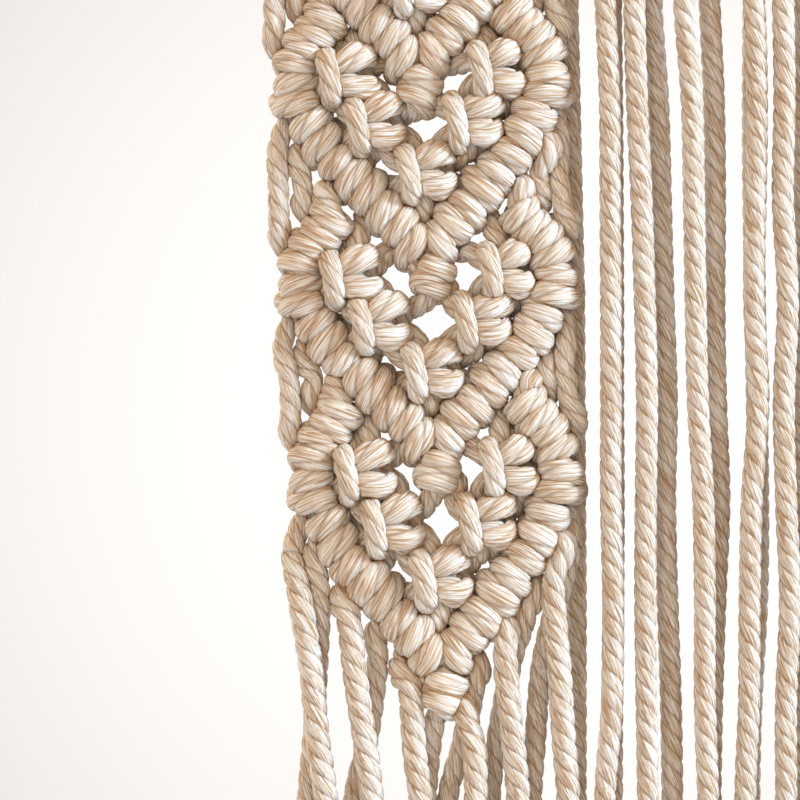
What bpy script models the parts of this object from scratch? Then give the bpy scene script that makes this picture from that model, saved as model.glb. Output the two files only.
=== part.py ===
"""A macrame wall hanging of twisted cotton cord, in metres, +Z up, with its front towards -Y.

Twelve lark's head knots sit on a short holding cord. The left six carry a knotted strip of four
V-shaped motifs that ends in a fringe, and the right six carry a curtain of plain cords. The origin
is at the middle of the top edge, where the heading hangs.
"""

import math

import bmesh
import bpy
from mathutils import Vector

MM = 0.001
GAP = 0.3 * MM

# The cord and the heading
CORD_RADIUS = 2.0 * MM
HEADING_KNOTS = 12
KNOT_PITCH = 8.6 * MM
HEADING_HALF_HEIGHT = 6.3 * MM
HEADING_HALF_DEPTH = 5.4 * MM
HOLDING_CORD_Z = -5.4 * MM
HOLDING_CORD_OVERHANG = 6.0 * MM
BOTTOM_Z = -290.0 * MM

# The knotted strip: its motifs repeat down an axis that leans a little from upright
MOTIFS = 4
MOTIF_PITCH = 35.5 * MM
STRIP_LEAN = math.radians(2.2)
FIRST_TIP = Vector((-23.6 * MM, 0.0, -65.1 * MM))
BAND_RADIUS = 4.4 * MM
KNOT_HALF_SIZES = Vector((5.0 * MM, 4.3 * MM, 4.9 * MM))
TIP_KNOT_HALF_SIZES = Vector((3.6 * MM, 4.0 * MM, 3.4 * MM))

# Half a motif's band of double half hitches: mm across and up from the motif's tip knot
BAND = (
    # across, up
    (17.0, 47.6),
    (19.8, 45.0),
    (21.9, 41.0),
    (22.6, 36.0),
    (21.4, 30.6),
    (17.8, 25.0),
    (11.7, 16.0),
    (0.2, 0.6),
)

# The square knots of half a motif
SQUARE_KNOTS = (
    # across, up
    (13.2, 37.4),
    (8.6, 27.6),
)
MIDDLE_KNOT = (0.0, 17.8)

# Cords that cross open ground inside a motif, from the band above to the knot below
LINKS = (
    # across, up, across, up at the end
    (12.6, 49.6, 13.6, 39.0),
    (8.4, 45.6, 11.6, 38.6),
    (2.6, 36.4, 7.4, 29.2),
    (7.4, 27.0, 1.2, 18.4),
    (17.0, 31.0, 12.6, 37.0),
)
# Plain cords down the side, from one motif's corner to the next one's
SIDE_CORDS = (
    # across, up, across and up halfway, across and up at the end
    (24.2, 66.0, 26.0, 53.5, 24.6, 40.0),
    (21.0, 60.0, 20.4, 54.5, 19.2, 47.0),
)

# Where each fringe cord leaves the spine under the lowest band, and where it hangs at three levels
FRINGE_LEVELS = (-170.0, -184.0, -195.0)
FRINGE_FRONT, FRINGE_BACK = -0.4, 4.0
FRINGE = (
    # across at the spine, x at the three levels, x at the end, depth
    (-27.2, -44.0, -42.0, -40.5, -37.0, FRINGE_FRONT),
    (-23.0, -42.2, -43.1, -44.3, -47.0, FRINGE_BACK),
    (-17.4, -35.5, -33.5, -32.4, -30.5, FRINGE_FRONT),
    (-12.4, -31.5, -32.7, -35.8, -38.0, FRINGE_BACK),
    (-7.4, -26.7, -24.5, -23.1, -20.5, FRINGE_FRONT),
    (-2.2, -21.4, -21.2, -22.9, -26.5, FRINGE_BACK),
    (3.4, -15.2, -14.2, -13.5, -12.0, FRINGE_FRONT),
    (7.2, -12.6, -16.0, -18.7, -21.0, FRINGE_BACK),
    (11.4, -8.2, -6.8, -5.7, -3.0, FRINGE_FRONT),
    (15.4, -7.1, -10.1, -10.7, -11.5, FRINGE_BACK),
    (21.4, 1.5, 2.4, 3.4, 4.4, FRINGE_FRONT),
    (26.6, -1.6, -2.9, -3.3, -2.0, FRINGE_BACK),
)
FRINGE_SPINE_RADIUS = 1.7 * MM
FRINGE_SPINE_DEPTH = 1.4 * MM
# From the middle of the lowest band to the spine under it
FRINGE_SPINE_DROP = BAND_RADIUS + FRINGE_SPINE_RADIUS + 0.45 * MM

# Where each curtain cord hangs, at five levels
CURTAIN_LEVELS = (-49.0, -85.0, -122.0, -158.0, -194.0)
CURTAIN_FRONT, CURTAIN_BACK, BEHIND_STRIP = -2.3, 3.0, 7.2
CURTAIN_BEND_LEVEL = -27.0
CURTAIN = (
    # x at the five levels, x at the end, depth
    (3.6, 4.5, 5.1, 5.1, 4.9, 5.0, BEHIND_STRIP),
    (9.8, 10.9, 10.9, 11.2, 9.9, 10.4, CURTAIN_FRONT),
    (11.3, 11.5, 11.7, 11.8, 11.6, 12.6, CURTAIN_BACK),
    (15.1, 16.4, 17.4, 17.4, 17.6, 18.0, CURTAIN_FRONT),
    (18.7, 20.5, 21.5, 21.6, 22.5, 23.0, CURTAIN_BACK),
    (24.1, 25.8, 26.6, 27.9, 28.5, 29.5, CURTAIN_FRONT),
    (29.3, 30.0, 30.5, 30.5, 29.5, 30.0, CURTAIN_BACK),
    (36.8, 37.1, 37.6, 36.0, 35.2, 35.5, CURTAIN_FRONT),
    (37.3, 37.2, 37.9, 38.0, 36.6, 38.5, CURTAIN_BACK),
    (42.0, 41.9, 42.2, 43.1, 42.6, 42.5, CURTAIN_FRONT),
    (46.7, 46.5, 46.4, 46.5, 46.7, 47.0, CURTAIN_BACK),
    (50.4, 50.7, 50.9, 50.8, 51.1, 52.5, CURTAIN_FRONT),
)
CURTAIN_SPINE_RADIUS = 1.6 * MM

KNOTWORK_SIDES = 8
STRAND_SIDES = 6
NATURAL = (0.80, 0.70, 0.57)
NATURAL_DARKER = (0.74, 0.63, 0.50)


def clear_scene():
    for old in list(bpy.data.objects):
        bpy.data.objects.remove(old, do_unlink=True)


def new_collection(name):
    collection = bpy.data.collections.new(name)
    bpy.context.scene.collection.children.link(collection)
    return collection


def cotton(name, colour):
    """A matt cotton material."""
    material = bpy.data.materials.new(name)
    material.use_nodes = True
    shader = material.node_tree.nodes["Principled BSDF"]
    shader.inputs["Base Color"].default_value = (*colour, 1.0)
    shader.inputs["Roughness"].default_value = 0.95
    shader.inputs["Metallic"].default_value = 0.0
    return material


def strip_point(motif, across, up, depth=0.0):
    """A point of the strip, from mm across and up from that motif's tip knot."""
    along = Vector((math.sin(STRIP_LEAN), 0.0, -math.cos(STRIP_LEAN)))
    sideways = Vector((math.cos(STRIP_LEAN), 0.0, math.sin(STRIP_LEAN)))
    tip = FIRST_TIP + along * (motif * MOTIF_PITCH)
    return tip + sideways * (across * MM) - along * (up * MM) + Vector((0.0, depth, 0.0))


def mesh_object(name, mesh, collection):
    piece = bpy.data.objects.new(name, mesh)
    collection.objects.link(piece)
    return piece


def tube(name, points, radius, sides, collection):
    """A closed round tube along the points, as a mesh."""
    curve = bpy.data.curves.new(name, "CURVE")
    curve.dimensions = "3D"
    curve.bevel_depth = radius
    curve.bevel_resolution = (sides - 4) // 2
    curve.use_fill_caps = True
    spline = curve.splines.new("POLY")
    spline.points.add(len(points) - 1)
    for spot, point in zip(spline.points, points):
        spot.co = (*point, 1.0)
    guide = mesh_object(name + "_guide", curve, collection)
    bpy.context.view_layer.update()
    mesh = bpy.data.meshes.new_from_object(guide.evaluated_get(bpy.context.evaluated_depsgraph_get()))
    bpy.data.objects.remove(guide, do_unlink=True)
    shape = bmesh.new()
    shape.from_mesh(mesh)
    bmesh.ops.remove_doubles(shape, verts=shape.verts, dist=0.00001)
    bmesh.ops.recalc_face_normals(shape, faces=shape.faces)
    shape.to_mesh(mesh)
    shape.free()
    return mesh_object(name, mesh, collection)


def ball(name, centre, half_sizes, collection, turn=0.0):
    """An ellipsoid, a little turned so that no faces line up with its neighbours."""
    shape = bmesh.new()
    bmesh.ops.create_uvsphere(shape, u_segments=8, v_segments=5, radius=1.0)
    bmesh.ops.scale(shape, vec=half_sizes, verts=shape.verts)
    mesh = bpy.data.meshes.new(name)
    shape.to_mesh(mesh)
    shape.free()
    piece = mesh_object(name, mesh, collection)
    piece.location = centre
    piece.rotation_euler = (0.13, turn, 0.21)
    return piece


def joined(name, pieces, collection, material):
    """One solid from overlapping pieces, which it uses up."""
    operands = new_collection(name + "_pieces")
    for piece in pieces[1:]:
        collection.objects.unlink(piece)
        operands.objects.link(piece)
    union = pieces[0].modifiers.new("Union", "BOOLEAN")
    union.operation = "UNION"
    union.operand_type = "COLLECTION"
    union.collection = operands
    union.solver = "EXACT"
    bpy.context.view_layer.update()
    evaluated = pieces[0].evaluated_get(bpy.context.evaluated_depsgraph_get())
    mesh = bpy.data.meshes.new_from_object(evaluated)
    mesh.transform(pieces[0].matrix_world)
    for piece in pieces:
        bpy.data.objects.remove(piece, do_unlink=True)
    bpy.data.collections.remove(operands)
    mesh.materials.clear()
    mesh.materials.append(material)
    mesh.name = name
    return mesh_object(name, mesh, collection)


def heading_leg_x(index):
    """Where the heading lets a cord down: two for each knot."""
    return (index + 0.5 - HEADING_KNOTS) * KNOT_PITCH / 2


def make_holding_cord(collection, material):
    half = HEADING_KNOTS * KNOT_PITCH / 2 + HOLDING_CORD_OVERHANG
    ends = [Vector((-half, 0.0, HOLDING_CORD_Z)), Vector((half, 0.0, HOLDING_CORD_Z))]
    cord = tube("holding_cord", ends, CORD_RADIUS, 12, collection)
    cord.data.materials.append(material)
    return cord


def make_heading_knots(collection, material):
    """The row of lark's head knots: an oval bar that swells at each leg, bored for its cord."""
    rings_per_leg, segments, swell = 4, 12, 0.06
    legs = 2 * HEADING_KNOTS
    left = heading_leg_x(0) - KNOT_PITCH / 4
    shape = bmesh.new()
    rings = []
    for row in range(legs * rings_per_leg + 1):
        phase = row / rings_per_leg
        size = 1.0 - swell * math.cos(2 * math.pi * phase)
        ring = []
        for side in range(segments):
            angle = 2 * math.pi * (side + 0.5) / segments
            ring.append(
                shape.verts.new(
                    (
                        left + phase * KNOT_PITCH / 2,
                        HEADING_HALF_DEPTH * size / (1 + swell) * math.cos(angle),
                        HEADING_HALF_HEIGHT * (size / (1 + swell) * math.sin(angle) - 1.0),
                    )
                )
            )
        rings.append(ring)
    for first, second in zip(rings, rings[1:]):
        for side in range(segments):
            after = (side + 1) % segments
            shape.faces.new((first[side], second[side], second[after], first[after]))
    shape.faces.new(rings[0])
    shape.faces.new(rings[-1])
    bmesh.ops.recalc_face_normals(shape, faces=shape.faces)
    mesh = bpy.data.meshes.new("heading_knots")
    shape.to_mesh(mesh)
    shape.free()
    knots = mesh_object("heading_knots", mesh, collection)
    mesh.materials.append(material)
    half = HEADING_KNOTS * KNOT_PITCH
    bore = tube(
        "heading_bore",
        [Vector((-half, 0.0, HOLDING_CORD_Z)), Vector((half, 0.0, HOLDING_CORD_Z))],
        CORD_RADIUS + GAP + 0.15 * MM,
        12,
        collection,
    )
    cutters = new_collection("cutters")
    collection.objects.unlink(bore)
    cutters.objects.link(bore)
    bore.hide_render = True
    bore.display_type = "WIRE"
    cut = knots.modifiers.new("Bore", "BOOLEAN")
    cut.operation = "DIFFERENCE"
    cut.object = bore
    cut.solver = "EXACT"
    return knots


def heading_foot():
    """The height just under the heading's knots."""
    return -2 * HEADING_HALF_HEIGHT - GAP


def strip_top_cords(collection):
    """The twelve cords from the heading down to the first motif's knots."""
    ends = (
        # across and up at the lower end
        (-22.4, 40.0),
        (-18.0, 47.0),
        (-15.4, 48.6),
        (-13.4, 38.6),
        (-10.6, 38.6),
        (-7.2, 29.0),
        (7.2, 29.0),
        (10.6, 38.6),
        (13.4, 38.6),
        (15.4, 48.6),
        (18.0, 47.0),
        (22.4, 40.0),
    )
    pieces = []
    for index, (across, up) in enumerate(ends):
        start = Vector((heading_leg_x(index), 0.0, heading_foot()))
        end = strip_point(0, across, up)
        below = Vector((start.x, 0.0, start.z - 4.0 * MM))
        points = [start, below, end] if end.z < below.z - 2 * MM else [start, end]
        pieces.append(tube(f"top_cord_{index}", points, CORD_RADIUS - 0.05 * MM, STRAND_SIDES, collection))
    return pieces


def make_knotted_strip(collection, material):
    """The strip as one solid: bands, square knots and the cords between them, with its gaps."""
    pieces = strip_top_cords(collection)
    for motif in range(MOTIFS):
        for side in (-1, 1):
            label = f"{motif}_{side}"
            band = [strip_point(motif, side * across, up) for across, up in BAND]
            pieces.append(tube("band_" + label, band, BAND_RADIUS, KNOTWORK_SIDES, collection))
            for row, (across, up) in enumerate(SQUARE_KNOTS):
                centre = strip_point(motif, side * across, up)
                turn = 0.17 + 0.31 * row
                pieces.append(ball(f"knot_{label}_{row}", centre, KNOT_HALF_SIZES, collection, turn))
            links = LINKS if motif else LINKS[3:]
            for row, (across, up, end_across, end_up) in enumerate(links):
                points = [
                    strip_point(motif, side * across, up, 0.4 * MM),
                    strip_point(motif, side * end_across, end_up, 0.4 * MM),
                ]
                link = tube(f"link_{label}_{row}", points, CORD_RADIUS, STRAND_SIDES, collection)
                pieces.append(link)
            for row, spots in enumerate(SIDE_CORDS if motif else ()):
                points = [
                    strip_point(motif, side * across, up)
                    for across, up in zip(spots[::2], spots[1::2])
                ]
                side_cord = tube(f"side_{label}_{row}", points, CORD_RADIUS, STRAND_SIDES, collection)
                pieces.append(side_cord)
        middle = strip_point(motif, *MIDDLE_KNOT)
        pieces.append(ball(f"knot_{motif}_middle", middle, KNOT_HALF_SIZES, collection, 0.4))
        tip = strip_point(motif, 0.4, -1.4)
        pieces.append(ball(f"tip_{motif}", tip, TIP_KNOT_HALF_SIZES, collection, 0.6))
    return joined("knotted_strip", pieces, collection, material)


def fringe_spine_half():
    """Half the spine, from the tip's line outwards: (across, up) at a set distance below the band."""
    band = [Vector(spot) for spot in reversed(BAND[4:])]
    drop = FRINGE_SPINE_DROP / MM
    half = []
    for before, spot, after in zip([band[0], *band], band, [*band[1:], band[-1]]):
        way = (after - before).normalized()
        half.append(spot + Vector((way.y, -way.x)) * drop)
    slope = (half[1].y - half[0].y) / (half[1].x - half[0].x)
    half.insert(0, Vector((0.0, half[0].y - slope * half[0].x)))
    return half


def fringe_spine_up(half, across):
    """The spine's height at this distance across."""
    for near, far in zip(half, half[1:]):
        if abs(across) <= far.x:
            break
    return near.y + (far.y - near.y) * (abs(across) - near.x) / (far.x - near.x)


def make_strip_fringe(collection, material):
    """The fringe as one comb: a spine along the lowest band's lower edge, and its cords."""
    last = MOTIFS - 1
    half = fringe_spine_half()
    outline = [(-spot.x, spot.y) for spot in reversed(half)]
    outline.extend((spot.x, spot.y) for spot in half[1:])
    spine = [strip_point(last, across, up, FRINGE_SPINE_DEPTH) for across, up in outline]
    pieces = [tube("fringe_spine", spine, FRINGE_SPINE_RADIUS, STRAND_SIDES, collection)]
    for index, (across, *hang, end_x, depth) in enumerate(FRINGE):
        start = strip_point(last, across, fringe_spine_up(half, across), FRINGE_SPINE_DEPTH)
        points = [start]
        for level, x in zip(FRINGE_LEVELS, hang):
            if level * MM < start.z - 5 * MM:
                points.append(Vector((x * MM, depth * MM, level * MM)))
        points.append(Vector((end_x * MM, depth * MM, BOTTOM_Z)))
        strand = tube(f"fringe_{index}", points, CORD_RADIUS, STRAND_SIDES, collection)
        pieces.append(strand)
    return joined("strip_fringe", pieces, collection, material)


def make_string_curtain(collection, material):
    """The plain cords as one comb, hung from a spine under the heading's knots."""
    spine_z = heading_foot() - CURTAIN_SPINE_RADIUS - 0.05 * MM
    first, last = heading_leg_x(HEADING_KNOTS), heading_leg_x(2 * HEADING_KNOTS - 1)
    ends = [
        Vector((first - 1.2 * MM, 0.0, spine_z)),
        Vector((last + 1.2 * MM, 0.0, spine_z)),
    ]
    pieces = [tube("curtain_spine", ends, CURTAIN_SPINE_RADIUS, KNOTWORK_SIDES, collection)]
    for index, (*hang, end_x, depth) in enumerate(CURTAIN):
        top = Vector((heading_leg_x(HEADING_KNOTS + index), 0.0, spine_z))
        points = [top]
        bend_x = (top.x + hang[0] * MM) / 2
        points.append(Vector((bend_x, depth * MM, CURTAIN_BEND_LEVEL * MM)))
        for level, x in zip(CURTAIN_LEVELS, hang):
            points.append(Vector((x * MM, depth * MM, level * MM)))
        points.append(Vector((end_x * MM, depth * MM, BOTTOM_Z)))
        strand = tube(f"curtain_{index}", points, CORD_RADIUS, STRAND_SIDES, collection)
        pieces.append(strand)
    return joined("string_curtain", pieces, collection, material)


def main():
    clear_scene()
    hanging = new_collection("macrame_wall_hanging")
    make_holding_cord(hanging, cotton("holding_cord_cotton", NATURAL))
    make_heading_knots(hanging, cotton("heading_knots_cotton", NATURAL))
    make_knotted_strip(hanging, cotton("knotted_strip_cotton", NATURAL))
    make_strip_fringe(hanging, cotton("strip_fringe_cotton", NATURAL))
    make_string_curtain(hanging, cotton("string_curtain_cotton", NATURAL_DARKER))


main()
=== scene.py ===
"""The looks of the macrame wall hanging: each cord is a twisted three-ply cotton cord on its knotted route.

Routes are worked out in millimetres: x to the right, y away from the viewer and z up, as in the CAD.
A place on the knotted strip is given as u across, v up and n towards the viewer, from a motif's tip.
"""

import itertools
import math

import bpy
import numpy as np
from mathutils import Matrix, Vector


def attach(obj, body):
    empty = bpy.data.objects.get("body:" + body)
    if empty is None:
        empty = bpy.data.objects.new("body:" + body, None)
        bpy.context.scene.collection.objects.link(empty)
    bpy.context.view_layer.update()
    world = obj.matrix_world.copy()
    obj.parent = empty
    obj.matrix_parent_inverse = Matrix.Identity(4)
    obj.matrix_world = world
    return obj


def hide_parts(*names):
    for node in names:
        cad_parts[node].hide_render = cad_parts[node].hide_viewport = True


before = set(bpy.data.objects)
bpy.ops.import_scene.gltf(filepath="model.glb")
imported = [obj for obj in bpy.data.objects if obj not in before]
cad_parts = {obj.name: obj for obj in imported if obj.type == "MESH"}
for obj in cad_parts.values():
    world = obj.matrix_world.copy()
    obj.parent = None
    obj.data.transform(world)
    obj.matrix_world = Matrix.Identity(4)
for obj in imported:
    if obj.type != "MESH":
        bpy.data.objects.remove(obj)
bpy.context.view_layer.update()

MM = 0.001
SEED = 4

# The cord
CORD_DIAMETER = 4.0
CORD_RADIUS = CORD_DIAMETER / 2
PLIES = 3
PLY_PITCH = 9.8
# A ply's outline: degrees from its crest and share of the cord's radius
PLY_PROFILE = ((0, 1.0), (15, 0.997), (30, 0.98), (45, 0.922), (60, 0.785))
# How much of its twist a cord keeps in a knot, and how deep the grooves between the plies stay there
KNOT_TWIST = 0.6
KNOT_GROOVE = 0.9
# How much of the plies' turn the fine yarns follow
YARN_LAY = 0.36
# Each cord's plies start at their own turn, in radians
ANY_TURN = (0, 6.28)
RING_POINTS = 24
RING_STEP = 0.88

# A bend flattens the cord: how sharp it has to be (1/mm) for the whole effect, how much wider and thinner
# the cord gets, and how far its inner side reaches towards the bend's middle
FULL_BEND = 0.34
BEND_WIDENS = 0.26
BEND_THINS = 0.12
BEND_INNER_REACH = 0.85
BEND_SMOOTHINGS = 3
LEAST_STEP = 0.2
LEAST_BEND = 0.05

# Drawing tight: how often, how much a cord straightens and two cords part each time, how much less a kept
# place gives way, and how often and how far round each place its neighbours are looked for
SETTLE_STEP = 1.0
SETTLE_ROUNDS = 160
STRAIGHTENING = 0.22
PARTING = 0.6
PARTINGS_A_ROUND = 2
KEPT_WEIGHT = 8.0
NEIGHBOURS_EVERY = 10
NEIGHBOUR_REACH = 5.0
SETTLED_SMOOTHINGS = 2
# Places this few steps from each other on one cord don't count as neighbours
SETTLE_APART = 6
PRESS_APART = 5
# Pressing: how near the other middle line is, in cord diameters, how deep the fibres mesh, and how near
# the surfaces are where the painted shade of a contact, a warm brown in the colour, starts
PRESS_REACH = 1.3
FIBRES_MESH = 0.1
CONTACT_SHADE = 0.35

# Stray fibres: how many for each ring of points, half of one's width, how deep its root is, how long it is,
# and how much it rises and leans for each step along the cord
FLUFF = 1.6
FLUFF_HALF_WIDTH = 0.022
FLUFF_ROOT = 0.06
FLUFF_LENGTH = (0.4, 1.9)
FLUFF_RISE = (0.15, 0.7)
FLUFF_LEAN = (-0.6, 0.6)

# How firmly hanging places are kept, and the contact radii of a loose, a hanging and a fringe cord
HANGING_HOLD = 0.2
LOOSE_CONTACT = 1.7
HANGING_CONTACT = 1.8
FRINGE_CONTACT = 1.95

# The heading
HEADING_KNOTS = 12
KNOT_PITCH = 8.6
HOLDING_Z = -5.4
HEADING_FOOT = -12.6

# The knotted strip
STRIP_LEAN = math.radians(2.2)
MOTIFS = (
    # tip x and z, how wide and how tall it is beside the last one, its last hitch's u and v
    (-23.6, -62.5, 1.01, 0.90, -0.1, -2.8),
    (-22.2, -96.7, 1.01, 0.917, 1.2, -2.8),
    (-21.0, -132.0, 1.025, 0.887, 0.8, -2.8),
    (-19.4, -171.7, 1.0, 1.0, 0.1, -3.1),
)
BOTTOM_Z = -288.0

# Middle line of half a motif's band: the leader runs along it, out to the corner and back to the tip
UPPER_BAND = (
    # u, v
    (-16.0, 49.6),
    (-18.4, 46.3),
    (-20.6, 42.8),
    (-22.1, 39.8),
)
LOWER_BAND = (
    # u, v
    (-22.4, 36.6),
    (-21.9, 33.4),
    (-20.9, 30.2),
    (-19.4, 26.9),
    (-17.3, 22.9),
    (-14.4, 19.2),
    (-11.7, 15.8),
    (-9.1, 12.5),
    (-6.7, 9.6),
    (-4.4, 6.9),
    (-2.0, 3.9),
    (0.0, 1.3),
)
# How far along its band each double half hitch sits, and how far apart its two wraps are
UPPER_HITCHES = ((3.4, 3.3), (9.5, 3.3))
LOWER_HITCHES = ((1.9, 3.6), (10.6, 4.3), (19.4, 4.4), (28.2, 4.4), (37.0, 4.4))
# A hitch's wraps, and the contact radius of its cord
WRAP_RADIUS = 2.65
HITCH_CONTACT = 1.75
# The cord is a little fuller or thinner in each wrap, as a hand draws it: the least and most, and how many
# degrees round the leader it changes: in front, behind between the wraps, and in front again
WRAP_LOOSENESS = (0.94, 1.07)
LOOSENESS_AT = (270, 450, 630)
HAND = np.random.default_rng(7)
# The last hitch at the tip: its wraps' spacing and radius, the cord's fullness, and its contact radius,
# which is small so that the two wraps lie in each other
LAST_HITCH = (2.3, 2.25, 1.1, 1.15)
TIP_WAY = (-0.5, -0.87)
TIP_LEADER = (
    # u and v from the last hitch, n, hold, contact radius
    (-0.6, -2.4, 0.0, 0.3, 1.4),
    (-1.9, -5.0, -0.6, 0.05, 1.6),
)
# How firmly a band's leader is kept, its contact radius as a thin core, and how firmly the free cords
# between two motifs and the edge cord at the corner are kept
LEADER_HOLD = 0.5
LEADER_CONTACT = 1.3
FREE_HOLD = 0.08
CORNER_HOLD = 0.12
# Between motifs the two edge cords hang free: u, v and n of the left ones on their way to their hitches,
# of the right ones, and of the edge cords as they leave the corner
FREE_CORDS = {
    1: (((-21.4, 56.5, -1.0), (-20.6, 52.8, -0.6)), ((-25.8, 56.0, 0.0), (-26.0, 50.0, 0.0))),
    -1: (((-20.0, 57.5, -1.0), (-19.6, 53.6, -0.6)), ((-23.4, 57.0, -1.0), (-23.8, 50.5, -0.8))),
}
# The upper bands' leader on its way to its first hitch
LEADER_IN = ((-19.4, 54.6, 0.2), (-17.2, 51.6, 1.0))
CORNER_EXIT = {
    1: ((-22.6, 32.4, -3.6), (-24.2, 29.6, -3.4), (-25.8, 26.2, -2.4), (-26.4, 22.6, -0.8)),
    -1: ((-22.4, 32.4, -3.6), (-23.2, 29.6, -3.8), (-23.8, 26.2, -3.0), (-24.0, 22.6, -1.6)),
}

SQUARE_KNOTS = (
    # u, v, first of its four cords, counted from the left
    (-13.2, 37.4, 1),
    (13.2, 37.4, 7),
    (-8.6, 27.6, 2),
    (8.6, 27.6, 6),
    (0.0, 17.8, 4),
)

# Rows of a double half hitch: share of the wraps' spacing along the leader, degrees round it from its
# upper side by the back, radius in wrap radii, and how firmly the place is kept
HITCH_ROWS = (
    # along, turn, radius, hold
    (0.20, -10, 1.15, 0.00),
    (0.02, -50, 1.05, 0.00),
    (-0.16, -90, 1.00, 0.00),
    (-0.28, -135, 1.00, 0.01),
    (-0.35, -180, 1.00, 0.10),
    (-0.42, -225, 1.00, 0.16),
    (-0.50, -270, 1.00, 0.20),
    (-0.58, -315, 1.00, 0.16),
    (-0.62, -355, 1.05, 0.10),
    (-0.30, -405, 1.45, 0.00),
    (0.02, -450, 1.90, 0.00),
    (0.36, -495, 1.45, 0.00),
    (0.63, -540, 1.05, 0.10),
    (0.58, -585, 1.00, 0.16),
    (0.50, -630, 1.00, 0.20),
    (0.42, -675, 1.00, 0.16),
    (0.36, -718, 1.00, 0.10),
    (0.32, -765, 1.00, 0.01),
    (0.30, -810, 1.00, 0.00),
    (0.20, -855, 1.02, 0.00),
    (0.12, -890, 1.15, 0.00),
)

# Rows of a square knot, from its middle: the left working cord, the right one, and a core
LEFT_WORKING = (
    # u, v, n, fullness
    (-5.4, 4.6, -0.4, 0.9),
    (-4.9, 2.8, 0.6, 0.9),
    (-3.4, 1.6, 1.9, 0.95),
    (-1.6, 1.6, 2.9, 1.0),
    (0.5, 2.4, 3.4, 1.08),
    (2.2, 3.4, 3.1, 1.16),
    (3.6, 4.2, 1.8, 1.18),
    (4.2, 3.9, -0.6, 1.08),
    (3.8, 2.8, -2.5, 0.98),
    (3.3, 0.9, -3.2, 0.95),
    (3.5, -0.9, -2.8, 0.98),
    (4.3, -2.5, -1.0, 1.08),
    (4.2, -3.2, 1.4, 1.18),
    (2.5, -2.9, 3.1, 1.16),
    (0.5, -2.2, 3.4, 1.08),
    (-1.6, -1.5, 2.9, 1.0),
    (-3.4, -1.8, 1.7, 0.95),
    (-4.8, -3.0, 0.4, 0.9),
    (-5.2, -4.8, -0.6, 0.9),
)
RIGHT_WORKING = (
    # u, v, n, fullness
    (6.2, 4.8, -1.2, 0.95),
    (6.2, 3.0, -2.0, 0.95),
    (5.4, 1.8, -4.2, 0.95),
    (2.8, 1.5, -5.2, 0.95),
    (0.0, 1.8, -4.8, 0.95),
    (-2.4, 2.6, -3.2, 0.92),
    (-3.8, 3.8, -1.4, 0.88),
    (-4.0, 4.6, 0.8, 0.86),
    (-3.7, 4.3, 3.0, 0.86),
    (-3.3, 2.6, 4.7, 0.86),
    (-2.9, 0.4, 5.2, 0.88),
    (-2.5, -2.0, 4.9, 0.86),
    (-2.4, -4.1, 3.4, 0.86),
    (-2.7, -5.0, 1.0, 0.86),
    (-2.8, -4.7, -1.4, 0.88),
    (-1.6, -3.6, -3.2, 0.92),
    (0.4, -2.6, -4.6, 0.95),
    (2.8, -1.7, -5.1, 0.95),
    (5.4, -1.4, -4.0, 0.95),
    (6.2, -2.4, -1.9, 0.95),
    (6.4, -4.4, -1.2, 0.95),
)
CORE_OFFSET = 1.25
CORE = (
    # v, n
    (4.8, 0.0),
    (2.4, -0.7),
    (0.0, -0.7),
    (-2.4, -0.7),
    (-4.8, 0.0),
)
# A row this high is left out where it would send the cord back up
KNOT_TOP = 4
# Hold, contact radius and twist of each working cord, and of a core with its fullness
LEFT_DRAW = (0.22, 1.5, KNOT_TWIST)
RIGHT_DRAW = (0.22, 1.5, 0.85)
CORE_DRAW = (0.08, 1.4, 1.0, 0.88)
# How much farther out the square knots of each motif sit than its width says
KNOTS_WIDE = (1.03, 1.03, 1.06, 1.0)

STRIP_CORDS = 12
HALF = STRIP_CORDS // 2
# How far up in its lark's head a strip cord starts
IN_HEADING = 3.0


def place(motif, u, v, n=0.0):
    """A place on the strip in row millimetres."""
    sine, cosine = math.sin(STRIP_LEAN), math.cos(STRIP_LEAN)
    tip_x, tip_z = MOTIFS[motif][:2]
    x = tip_x + u * cosine - v * sine
    z = tip_z + u * sine + v * cosine
    return (x, -n, z)


class Route:
    """One cord's places in order, each with its hold, contact radius, twist and fullness.

    The hold says how firmly the place is kept, and the contact radius how near other cords come.
    """

    def __init__(self):
        self.rows = []

    def add(self, motif, u, v, n=0.0, hold=0.0, contact=LOOSE_CONTACT, twist=1.0, full=1.0):
        self.rows.append((*place(motif, u, v, n), hold, contact, twist, full))

    def add_world(self, x, y, z, hold=0.0, contact=HANGING_CONTACT, twist=1.0, full=1.0):
        self.rows.append((x, y, z, hold, contact, twist, full))

    def is_above(self, motif, u, v):
        """Whether the cord's last place is above this one, so that it needn't go back up."""
        return self.rows[-1][2] > place(motif, u, v)[2]


def along_line(points, distance):
    """The place on a line of points so far along it, and the line's direction there."""
    points = np.array(points, float)
    steps = np.diff(points, axis=0)
    lengths = np.linalg.norm(steps, axis=1)
    reached = np.concatenate([[0], np.cumsum(lengths)])
    i = min(max(int(np.searchsorted(reached, distance) - 1), 0), len(steps) - 1)
    spot = points[i] + steps[i] * (distance - reached[i]) / lengths[i]
    middle = reached[:-1] + lengths / 2
    way = np.array([np.interp(distance, middle, steps[:, k] / lengths) for k in (0, 1)])
    return spot, way / np.linalg.norm(way)


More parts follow.
